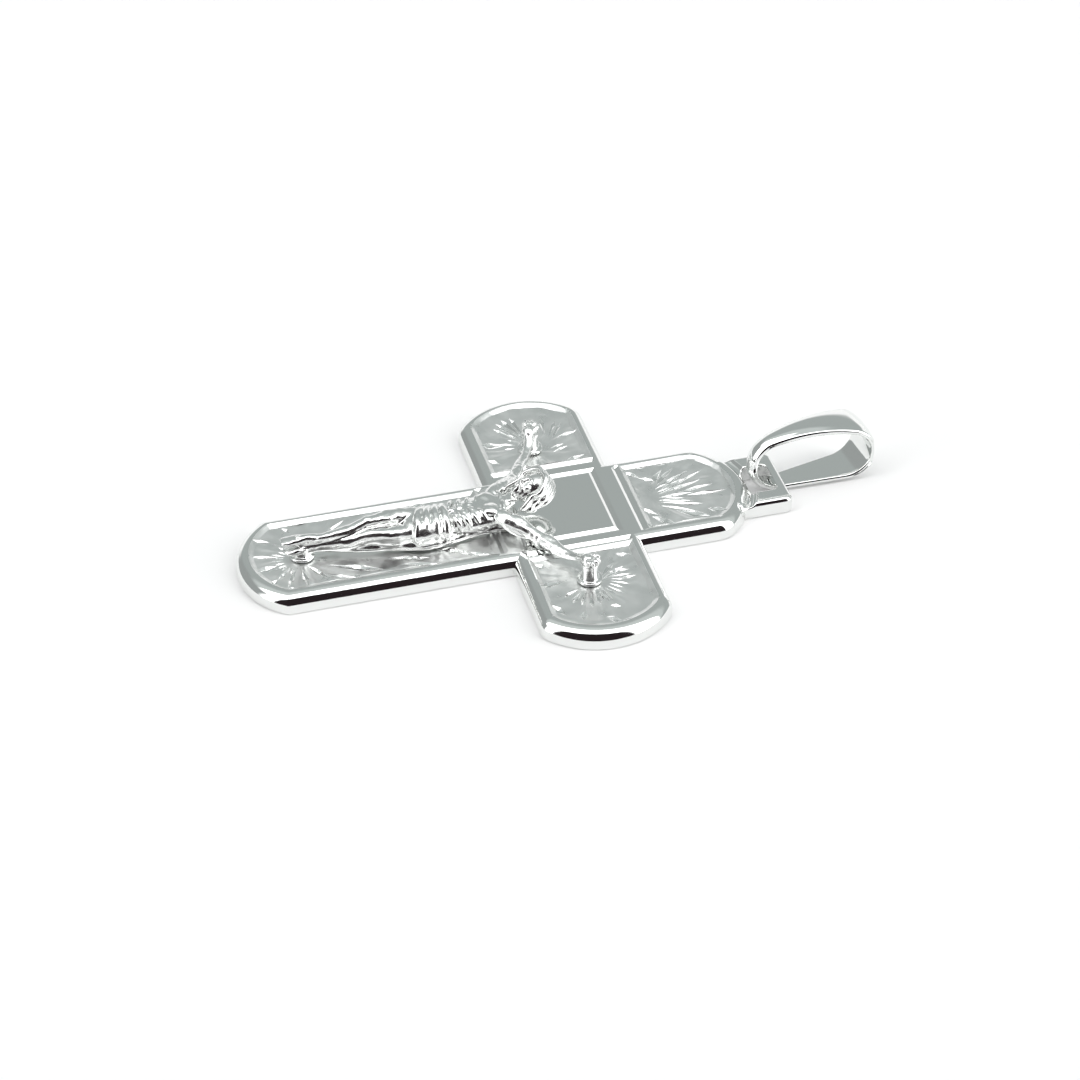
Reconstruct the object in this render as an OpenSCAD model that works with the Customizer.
// Crucifix pendant, lying on its back, in millimetres.
// The origin is the crossing's centre on the back face. +X is to the viewer's right, +Y runs
// up the cross to the bail, and +Z points out of the front.

/* [Cross plate] */
// Thickness of the plate at its rim
plate_t = 1.22; // [1.10:0.02:1.60]
// Width of the upright bar
stem_w = 8.5; // [7.8:0.1:9.6]
// Width of the cross bar
arm_w = 8.5; // [7.8:0.1:9.6]
// From the crossing's centre to the corners of the foot end
foot_reach = 18.7; // [18.0:0.1:22.0]
// From the crossing's centre to the corners of the top end
top_reach = 9.9; // [9.4:0.1:12.0]
// From the crossing's centre to the corners of either arm end
arm_reach = 10.5; // [10.0:0.1:12.0]
// Height of the arc that closes the foot
foot_arc = 2.4; // [1.8:0.1:3.0]
// Height of the arc that closes the top
top_arc = 2.4; // [1.8:0.1:3.0]
// Height of the arc that closes each arm
arm_arc = 2.2; // [1.8:0.1:3.0]
// Radius of the rounded front edge
edge_r = 0.66; // [0.40:0.02:0.74]
// Width of the raised rim, with its rounded edge
rim_w = 0.95; // [0.86:0.01:1.20]
// Depth of the field below the rim
field_drop = 0.15; // [0.08:0.01:0.25]

/* [Centre panel] */
// Width of each groove round the panel
groove_w = 0.34; // [0.20:0.02:0.50]
// Depth of each groove
groove_d = 0.12; // [0.06:0.01:0.20]

/* [Cut rays] */
// Depth of the deepest cut below the field
cut_d = 0.10; // [0.05:0.01:0.16]
// Number of fine rays round each hand and the feet
ray_n = 16; // [12:1:24]
// Width of a fine ray at its outer end
ray_w = 0.30; // [0.16:0.02:0.36]
// Clear radius inside the fine rays
ray_in = 0.9; // [0.6:0.1:1.2]
// Outer radius of the fine rays
ray_out = 2.3; // [1.9:0.1:2.6]
// Length of a leaf cut
leaf_l = 1.7; // [1.2:0.1:2.2]
// Width of a leaf cut
leaf_w = 0.6; // [0.30:0.05:0.80]
// Length of the long rays at the top end
fan_l = 3.8; // [2.8:0.1:4.2]
// Width of the long rays at the top end
fan_w = 0.50; // [0.30:0.05:0.60]

/* [Lug] */
// Width of the hole in the lug
hole_w = 2.7; // [2.5:0.1:3.2]
// Length of the hole, from the plate to the outer bar
hole_l = 1.75; // [1.65:0.05:2.20]
// Metal between the tip of the plate and the hole
lug_web = 0.10; // [0.05:0.05:0.50]
// Width of each side of the lug
lug_side = 1.25; // [1.00:0.05:1.50]
// Width of the outer bar, seen from the front
bar_w = 0.68; // [0.50:0.02:0.80]
// Height of the lug's front face over the back of the plate
lug_t = 1.15; // [1.04:0.01:1.30]
// Height of the tunnel under the outer bar
tunnel_h = 0.66; // [0.62:0.01:0.72]
// Radius of the lug's rounded edges
lug_r = 0.36; // [0.20:0.02:0.40]
// Radius of the lug's corners, seen from the front
lug_corner = 0.50; // [0.20:0.05:0.80]

/* [Bail] */
// Thickness of the band
band_t = 0.5; // [0.40:0.02:0.52]
// Radius of the band's middle line round either end
loop_r = 1.85; // [1.80:0.05:2.20]
// Distance between the centres of the two ends
bail_run = 4.5; // [3.8:0.1:6.0]
// Rise of the upper leg over a straight one
bail_arch = 0.30; // [0.10:0.02:0.40]
// Width of the band at the narrow end
nose_w = 0.75; // [0.60:0.05:1.00]
// Width of the band over the centre of the wide end
band_w = 3.1; // [2.6:0.1:3.4]
// Width of the band at its far tip
tip_w = 2.4; // [1.6:0.1:2.6]
// Radius of the rounded wide end, seen from the front
tip_r = 2.2; // [1.8:0.1:3.0]
// Place of the narrow end across the lug
bail_x = -0.3; // [-0.40:0.05:0.40]
// Turn of the loose bail on the table, in degrees
bail_turn = 6; // [0:1:6]
// Height of the bail over the table
bail_rest = 0.03; // [0.02:0.01:0.05]
// Room between the bail and the hole's edge at the plate
bail_clear = 0.08; // [0.05:0.01:0.12]

/* [Figure] */
// From the base of the neck to the toes
body_l = 14.6; // [13.6:0.1:15.0]
// Width of the chest
chest_w = 2.8; // [2.4:0.1:3.4]
// Depth of the body, from the field to the front of the chest
body_h = 2.0; // [1.8:0.1:2.4]
// From the base of the neck up to the line of the hands
hand_rise = 3.6; // [3.2:0.1:4.0]
// From the middle line to the centre of either palm
hand_reach = 6.9; // [6.4:0.1:7.4]
// Thickness of the upper arm
arm_d = 1.1; // [0.90:0.05:1.30]
// Thickness of a thigh
thigh_d = 1.25; // [1.00:0.05:1.40]
// Length of the head, from the beard to the crown
head_l = 3.1; // [2.6:0.1:3.4]
// Thickness of a lock of hair or a fold of the loincloth
lock_d = 0.45; // [0.30:0.05:0.60]
// Radius of the posts behind the hands and feet
post_r = 0.56; // [0.40:0.02:0.66]
// Gap between a post and the field
seat_gap = 0.03; // [0.02:0.01:0.05]

/* [Hidden] */
$fn = 64;
eps = 0.05;

// Places that follow from the sizes above
field_z = plate_t - field_drop;
tip_y = top_reach + top_arc;
hole_y = tip_y + lug_web;
bar_y = hole_y + hole_l;
lug_end = bar_y + bar_w;
lug_w = hole_w + 2 * lug_side;
loop_out = loop_r + band_t / 2;
pivot_y = hole_y + bail_clear + loop_out;
pivot_z = bail_rest + loop_out;
neck_y = -hand_rise;
foot_y = neck_y - body_l * 0.91;
fan_y = top_reach * 0.60;
sides = 16;

// Radius of the arc over a chord of width w and height h
function arc_r(w, h) = (w * w / 4 + h * h) / (2 * h);

// Cross plate

// Half of a plate's section: square inside, rounded at the front outer edge
module edge_profile(half, t, r) {
    square([half - r, t]);
    square([half, t - r]);
    intersection() {
        translate([half - r, t - r])
            circle(r);
        square([half, t]);
    }
}

// Disc with a rounded front edge, reaching deeper than the back of the plate
module soft_disc(radius) {
    deeper = 1;
    translate([0, 0, -deeper])
        rotate_extrude($fn = 128)
            edge_profile(radius, plate_t + deeper, edge_r);
}

// Straight strip along Y with rounded front edges
module soft_strip(w, t, r, y0, y1) {
    translate([0, y1, 0])
        rotate([90, 0, 0])
            linear_extrude(height = y1 - y0) {
                edge_profile(w / 2, t, r);
                mirror([1, 0])
                    edge_profile(w / 2, t, r);
            }
}

// Rounded end of a bar, past the centre of its arc, with that end pointing along +Y
module soft_end(w, reach, arc) {
    r = arc_r(w, arc);
    centre = reach + arc - r;
    intersection() {
        translate([0, centre, 0])
            rotate(-90)
                soft_disc(r);
        soft_strip(w, plate_t, edge_r, centre, reach + arc + 1);
    }
}

// One bar of the cross along Y: a strip whose two ends are arcs that meet it at corners
module soft_bar(w, low, low_arc, high, high_arc) {
    soft_strip(w, plate_t, edge_r, arc_r(w, low_arc) - low - low_arc,
               high + high_arc - arc_r(w, high_arc));
    soft_end(w, high, high_arc);
    rotate(180)
        soft_end(w, low, low_arc);
}

// Flat outline of the sunk field at one end of a bar of width w
module field_outline(w, reach, arc, start) {
    r = arc_r(w, arc);
    centre = reach + arc - r;
    half = w / 2 - rim_w;
    intersection() {
        translate([-half, start])
            square([2 * half, reach + arc - start]);
        union() {
            translate([0, centre])
                circle(r - rim_w, $fn = 128);
            translate([-w, start])
                square([2 * w, max(centre - start, eps)]);
        }
    }
}

// V-shaped section of a cut: its point at the origin and its mouth of width w at height d
module v_section(w, d) {
    grow = 1.5;
    polygon([[0, 0], [w / 2 * grow, d * grow], [-w / 2 * grow, d * grow]]);
}

// Straight groove of even depth along X, centred on the origin
module groove(length) {
    translate([-length / 2, 0, -groove_d])
        rotate([90, 0, 90])
            linear_extrude(height = length)
                v_section(groove_w, groove_d);
}

// Cut along +Y that starts as a point on the surface and deepens to its far end
module spike(length, w, d) {
    rotate([-atan(d / length), 0, 0])
        rotate([90, 0, 180])
            linear_extrude(height = length)
                v_section(w, d);
}

// Leaf-shaped cut along Y, centred on the origin, pointed at both ends
module leaf(length, w, d) {
    intersection() {
        translate([0, -length / 2, 0])
            spike(length, 2 * w, 2 * d);
        translate([0, length / 2, 0])
            rotate(180)
                spike(length, 2 * w, 2 * d);
    }
}

// Fine rays round a centre, every other one shorter
module ray_ring(n) {
    for (i = [0 : n - 1])
        rotate(360 * (i + 0.5) / n)
            translate([0, ray_in, 0])
                spike((ray_out - ray_in) * (i % 2 == 0 ? 1 : 0.7), ray_w, cut_d * 0.8);
}

// Leaves of one end. Each row: across and along the end as shares of the bar's half width
// and of its reach, direction in degrees from the bar's line, length as a share of leaf_l
module leaves(rows, half, reach) {
    for (row = rows)
        translate([row[0] * half, row[1] * reach, 0])
            rotate(row[2])
                leaf(leaf_l * row[3], leaf_w, cut_d);
}

// Everything cut into the field at one end of a bar, with that end pointing along +Y
module end_cuts(w, reach, arc, start) {
    translate([0, 0, field_z])
        linear_extrude(height = plate_t)
            field_outline(w, reach, arc, start);
    intersection() {
        translate([0, 0, field_z - 2 * cut_d])
            linear_extrude(height = plate_t)
                field_outline(w, reach, arc, start);
        translate([0, 0, field_z])
            children();
    }
}

// Turn a piece so that its +Y end points along the given direction
module toward(degrees) {
    rotate(degrees - 90)
        children();
}

near_leaves = [[0.57, 0.64, 80, 1.05], [0.62, 0.46, 38, 0.60], [0.66, 0.89, 24, 0.75],
               [-0.14, 1.07, 62, 0.95], [-0.62, 0.74, 30, 0.80]];
far_leaves = [[-0.57, 0.77, 108, 1.00], [-0.66, 0.59, 43, 0.55], [0.64, 0.77, -108, 1.00],
              [0.42, 0.63, 26, 0.80], [0.63, 0.51, -85, 1.00]];
top_leaves = [[-0.64, 0.54, -46, 1.00], [0.34, 0.55, -45, 0.85], [0.62, 0.62, -37, 1.00],
              [0.57, 0.99, -28, 0.80], [0.64, 0.84, -35, 1.05]];
foot_leaves = [[0.50, 1.03, 15, 0.60], [0.14, 1.03, 12, 1.00], [0.83, 0.97, -10, 0.85],
               [-0.52, 1.03, 66, 0.40], [-0.74, 0.94, -36, 0.50], [-0.60, 0.79, 26, 1.90],
               [-0.61, 0.72, 20, 1.20]];
fan_ways = [38, 25, 12, 1, -14, -34];

// Sunk field and cuts of the arm that points along the given direction
module arm_field(degrees, rows) {
    toward(degrees)
        end_cuts(arm_w, arm_reach, arm_arc, stem_w / 2 + groove_w / 2) {
            union() {
                translate([0, hand_reach, 0])
                    ray_ring(ray_n);
                leaves(rows, arm_w / 2, arm_reach);
            }
        }
}

// Sunk field of the top end, with its fan of long rays
module top_field() {
    end_cuts(stem_w, top_reach, top_arc, arm_w / 2 + groove_w / 2) {
        union() {
            for (way = fan_ways)
                translate([0, fan_y, 0])
                    rotate(way)
                        translate([0, ray_in / 2, 0])
                            spike(fan_l, fan_w, cut_d);
            leaves(top_leaves, stem_w / 2, top_reach);
        }
    }
}

// Sunk field of the long lower end, with the rays round the feet
module foot_field() {
    toward(-90)
        end_cuts(stem_w, foot_reach, foot_arc, arm_w / 2 + groove_w / 2) {
            union() {
                translate([0, -foot_y, 0])
                    ray_ring(ray_n);
                leaves(foot_leaves, stem_w / 2, foot_reach);
            }
        }
}

// The closed square of grooves round the panel, and a straight one across each bar outside it
module panel_grooves() {
    half_x = stem_w / 2 - rim_w;
    half_y = arm_w / 2 - rim_w;
    translate([0, 0, plate_t])
        for (s = [-1, 1]) {
            translate([0, s * half_y, 0])
                groove(2 * half_x + groove_w);
            translate([s * half_x, 0, 0])
                rotate(90)
                    groove(2 * half_y + groove_w);
            translate([0, s * arm_w / 2, 0])
                groove(2 * half_x);
            translate([s * stem_w / 2, 0, 0])
                rotate(90)
                    groove(2 * half_y);
        }
}

// Rectangle from y0 to y1 with rounded corners at both ends
module soft_rectangle(w, y0, y1, r) {
    translate([-w / 2 + r, y0])
        square([w - 2 * r, y1 - y0]);
    translate([-w / 2, y0 + r])
        square([w, y1 - y0 - 2 * r]);
    for (x = [-w / 2 + r, w / 2 - r], y = [y0 + r, y1 - r])
        translate([x, y])
            circle(r);
}

// Hollow fillet between the side of the lug and the arc of the plate
module lug_fillet() {
    r = arc_r(stem_w, top_arc);
    arc_y = tip_y - r;
    f = lug_corner;
    fx = lug_w / 2 + f;
    fy = arc_y + sqrt(pow(r + f, 2) - pow(fx, 2));
    inside = (r - 2 * eps) / (r + f);
    linear_extrude(height = plate_t - edge_r)
        difference() {
            polygon([[lug_w / 2 - eps, fy], [fx, fy],
                     [fx * inside, arc_y + (fy - arc_y) * inside],
                     [lug_w / 2 - eps, arc_y + (fy - arc_y) * inside]]);
            translate([fx, fy])
                circle(f);
        }
}

// Rectangular lug at the top with rounded edges and corners
module lug() {
    root_y = tip_y - rim_w;
    intersection() {
        linear_extrude(height = lug_t)
            soft_rectangle(lug_w, root_y - 2 * lug_corner, lug_end, lug_corner);
        soft_strip(lug_w, lug_t, lug_r, root_y, lug_end + 1);
        rotate(-90)
            soft_strip(2 * lug_end, lug_t, lug_r, -lug_w, lug_w);
    }
    lug_fillet();
    mirror([1, 0, 0])
        lug_fillet();
}

// Upright bar with its two sunk ends
module upright() {
    difference() {
        soft_bar(stem_w, foot_reach, foot_arc, top_reach, top_arc);
        top_field();
        foot_field();
    }
}

// Cross bar with its two sunk ends
module crossbar() {
    difference() {
        rotate(-90)
            soft_bar(arm_w, arm_reach, arm_arc, arm_reach, arm_arc);
        arm_field(0, near_leaves);
        arm_field(180, far_leaves);
    }
}

module cross_plate() {
    color("gainsboro")
        difference() {
            union() {
                upright();
                crossbar();
                lug();
            }
            panel_grooves();
            translate([0, 0, -1])
                linear_extrude(height = lug_t + 2)
                    soft_rectangle(hole_w, hole_y, bar_y, lug_corner * 0.8);
            translate([-hole_w / 2, (hole_y + bar_y) / 2, -1])
                cube([hole_w, lug_end - hole_y, 1 + tunnel_h]);
        }
}

// Corpus

function unit(v) = v / norm(v);

// Direction of a row of points at one of them
function way_at(p, i) = unit(p[min(i + 1, len(p) - 1)] - p[max(i - 1, 0)]);

// Smooth limb: rings of half width w and half height h round the points p
module limb(p, w, h) {
    n = len(p);
    rings = [for (i = [0 : n - 1])
        let (way = way_at(p, i), across = unit(cross(way, [0, 0, 1])), up = cross(across, way))
        for (k = [0 : sides - 1])
            p[i] + across * w[i] * cos(360 * k / sides) + up * h[i] * sin(360 * k / sides)];
    skin = [for (i = [0 : n - 2], k = [0 : sides - 1])
        let (a = i * sides + k, b = i * sides + (k + 1) % sides)
        each [[a, b, b + sides], [a, b + sides, a + sides]]];
    first = [for (k = [0 : sides - 1]) sides - 1 - k];
    last = [for (k = [0 : sides - 1]) (n - 1) * sides + k];
    polyhedron(points = rings, faces = concat(skin, [first, last]));
}

// Place on the body: across in chest widths, down from the neck in body lengths, and up
// from the field in body depths
function body_at(row) = [row[1] * chest_w, neck_y - row[0] * body_l, field_z + row[2] * body_h];

// Place on an arm: out in reaches of the hand, up from the neck in rises of the hand, and up
// from the field in body depths
function arm_at(row) = [row[0] * hand_reach, neck_y + row[1] * hand_rise,
                        field_z + row[2] * body_h];

// Part of the body from a table: down, across, rise, half width and half height as shares
// of w and of h
module body_part(rows, w, h) {
    limb([for (row = rows) body_at(row)], [for (row = rows) row[3] * w],
         [for (row = rows) row[4] * h]);
}

// Short rounded strand from one place to another
module strand(from, to, d) {
    hull() {
        translate(from)
            sphere(d / 2, $fn = 12);
        translate(to)
            sphere(d / 2, $fn = 12);
    }
}

// down, across, rise, half width, half height
trunk = [[-0.02, -0.05, 0.80, 0.13, 0.18],
         [0.02, 0.00, 0.68, 0.24, 0.25],
         [0.05, 0.02, 0.62, 0.46, 0.32],
         [0.10, 0.02, 0.56, 0.48, 0.39],
         [0.18, 0.03, 0.52, 0.45, 0.40],
         [0.25, 0.06, 0.48, 0.40, 0.34],
         [0.31, 0.09, 0.50, 0.47, 0.40],
         [0.38, 0.10, 0.50, 0.54, 0.45],
         [0.44, 0.08, 0.50, 0.48, 0.44],
         [0.47, 0.07, 0.50, 0.36, 0.34]];
near_leg = [[0.40, 0.27, 0.48, 0.46, 0.46],
            [0.51, 0.23, 0.50, 0.46, 0.48],
            [0.61, 0.18, 0.56, 0.37, 0.42],
            [0.70, 0.11, 0.46, 0.33, 0.36],
            [0.80, 0.07, 0.40, 0.26, 0.29],
            [0.87, 0.05, 0.38, 0.24, 0.26]];
far_leg = [[0.40, -0.13, 0.56, 0.44, 0.44],
           [0.51, -0.11, 0.66, 0.44, 0.46],
           [0.61, -0.05, 0.76, 0.36, 0.42],
           [0.70, 0.02, 0.66, 0.33, 0.36],
           [0.80, 0.04, 0.62, 0.26, 0.29],
           [0.87, 0.03, 0.64, 0.25, 0.27]];
upper_foot = [[0.86, 0.03, 0.63, 0.26, 0.28],
              [0.93, 0.00, 0.62, 0.32, 0.26],
              [0.98, -0.03, 0.64, 0.33, 0.20],
              [1.00, -0.04, 0.64, 0.20, 0.12]];
lower_foot = [[0.86, 0.05, 0.38, 0.25, 0.27],
              [0.93, 0.06, 0.32, 0.32, 0.26],
              [0.97, 0.05, 0.34, 0.30, 0.18],
              [0.99, 0.05, 0.34, 0.18, 0.10]];
// out, up, rise, half width, half height
arm = [[0.05, -0.22, 0.58, 0.40, 0.34],
       [0.20, -0.16, 0.66, 0.52, 0.50],
       [0.32, 0.10, 0.56, 0.46, 0.46],
       [0.46, 0.33, 0.42, 0.42, 0.42],
       [0.62, 0.53, 0.38, 0.42, 0.40],
       [0.80, 0.76, 0.40, 0.32, 0.32],
       [0.90, 0.88, 0.58, 0.42, 0.28],
       [1.00, 0.97, 0.76, 0.52, 0.24],
       [1.05, 1.01, 0.80, 0.36, 0.18]];
// out and up of the tip of each finger, as shares of head_l from the palm
fingers = [[0.15, 0.16], [0.20, 0.09], [0.21, 0.01], [0.17, -0.07]];
// down at the two ends of each fold of the loincloth
folds = [[0.29, 0.31], [0.32, 0.35], [0.35, 0.39], [0.38, 0.43], [0.42, 0.46]];
// across, along and up of each lock of hair: root and end, as shares of head_l
locks = [[[0.28, 0.30, 0.08], [0.36, -0.20, -0.08]],
         [[0.34, 0.10, -0.10], [0.40, -0.30, -0.22]],
         [[-0.28, 0.30, 0.08], [-0.36, -0.20, -0.08]],
         [[-0.34, 0.10, -0.10], [-0.40, -0.30, -0.18]],
         [[0.00, -0.34, 0.14], [-0.01, -0.47, 0.00]]];

// Post with a thin collar that holds a hand or the feet off the field
module post(x, y, top) {
    translate([x, y, field_z + seat_gap]) {
        cylinder(r = post_r, h = top - field_z - seat_gap);
        cylinder(r = post_r * 1.5, h = post_r * 0.3);
    }
}

// One arm with its hand, its post and the head of its nail
module arm_side() {
    palm = arm_at([1.00, 0.96, 0.72]);
    limb([for (row = arm) arm_at(row)], [for (row = arm) row[3] * arm_d],
         [for (row = arm) row[4] * arm_d]);
    for (tip = fingers)
        strand(palm, palm + [tip[0], tip[1], 0.02] * head_l, arm_d * 0.26);
    translate([0, 0, arm_d * 0.22])
        strand(palm, palm, arm_d * 0.42);
    post(palm[0] + post_r * 0.3, palm[1], palm[2]);
}

// Head with hair and beard, in its own frame: +Y to the crown, +Z out of the face
module head() {
    turn = [for (a = [-80 : 20 : 80]) a];
    limb([for (a = turn) [0, sin(a), 0] * head_l * 0.46],
         [for (a = turn) cos(a) * head_l * 0.33],
         [for (a = turn) cos(a) * head_l * 0.36]);
    for (strip = locks)
        strand(strip[0] * head_l, strip[1] * head_l, lock_d * 1.4);
}

module corpus() {
    color("gainsboro") {
        body_part(trunk, chest_w, body_h);
        body_part(near_leg, thigh_d, thigh_d);
        body_part(far_leg, thigh_d, thigh_d);
        body_part(upper_foot, thigh_d, thigh_d);
        body_part(lower_foot, thigh_d, thigh_d);
        arm_side();
        mirror([1, 0, 0])
            arm_side();
        post(0, foot_y, field_z + body_h * 0.5);
        for (fold = folds) {
            strand(body_at([fold[0], -0.36, 0.68]), body_at([(fold[0] + fold[1]) / 2, 0.02, 0.92]),
                   lock_d);
            strand(body_at([(fold[0] + fold[1]) / 2, 0.02, 0.92]), body_at([fold[1], 0.50, 0.56]),
                   lock_d);
        }
        translate([-head_l * 0.13, neck_y + head_l * 0.48, field_z + body_h])
            rotate([18, 0, 10])
                head();
    }
}

// Bail

// Side view of the loop, grown by the given amount over its middle line, along +X
module loop_outline(grown) {
    r = loop_r + grown;
    mid = bail_run / 2;
    drop = (mid * mid - bail_arch * bail_arch) / (2 * bail_arch);
    reach = 1.5;
    circle(r);
    translate([bail_run, 0])
        circle(r);
    translate([0, -r])
        square([bail_run, r]);
    intersection() {
        translate([mid, -drop])
            circle(r + bail_arch + drop, $fn = 256);
        polygon([[0, 0], [bail_run, 0], [mid + mid * reach, -drop + drop * reach],
                 [mid - mid * reach, -drop + drop * reach]]);
    }
}

// Front view of the band along +Y: narrow at the lug, widest near the rounded far end
module band_outline() {
    far = bail_run + loop_out;
    flare = (band_w - nose_w) / 2 / far;
    round_y = far - sqrt(tip_r * tip_r - tip_w * tip_w / 4);
    near_half = nose_w / 2 - flare;
    far_half = nose_w / 2 + flare * (far + loop_out + 1);
    intersection() {
        polygon([[-near_half, -loop_out - 1], [near_half, -loop_out - 1],
                 [far_half, far + 1], [-far_half, far + 1]]);
        union() {
            translate([0, round_y])
                circle(tip_r, $fn = 128);
            translate([-tip_r, -loop_out - 1])
                square([2 * tip_r, round_y + loop_out + 1]);
        }
    }
}

module bail() {
    color("gainsboro")
        translate([bail_x, pivot_y, pivot_z])
            rotate(bail_turn)
                intersection() {
                    translate([-band_w, 0, 0])
                        rotate([90, 0, 90])
                            linear_extrude(height = 2 * band_w)
                                difference() {
                                    loop_outline(band_t / 2);
                                    loop_outline(-band_t / 2);
                                }
                    translate([0, 0, -2 * loop_out])
                        linear_extrude(height = 4 * loop_out)
                            band_outline();
                }
}

cross_plate();
corpus();
bail();
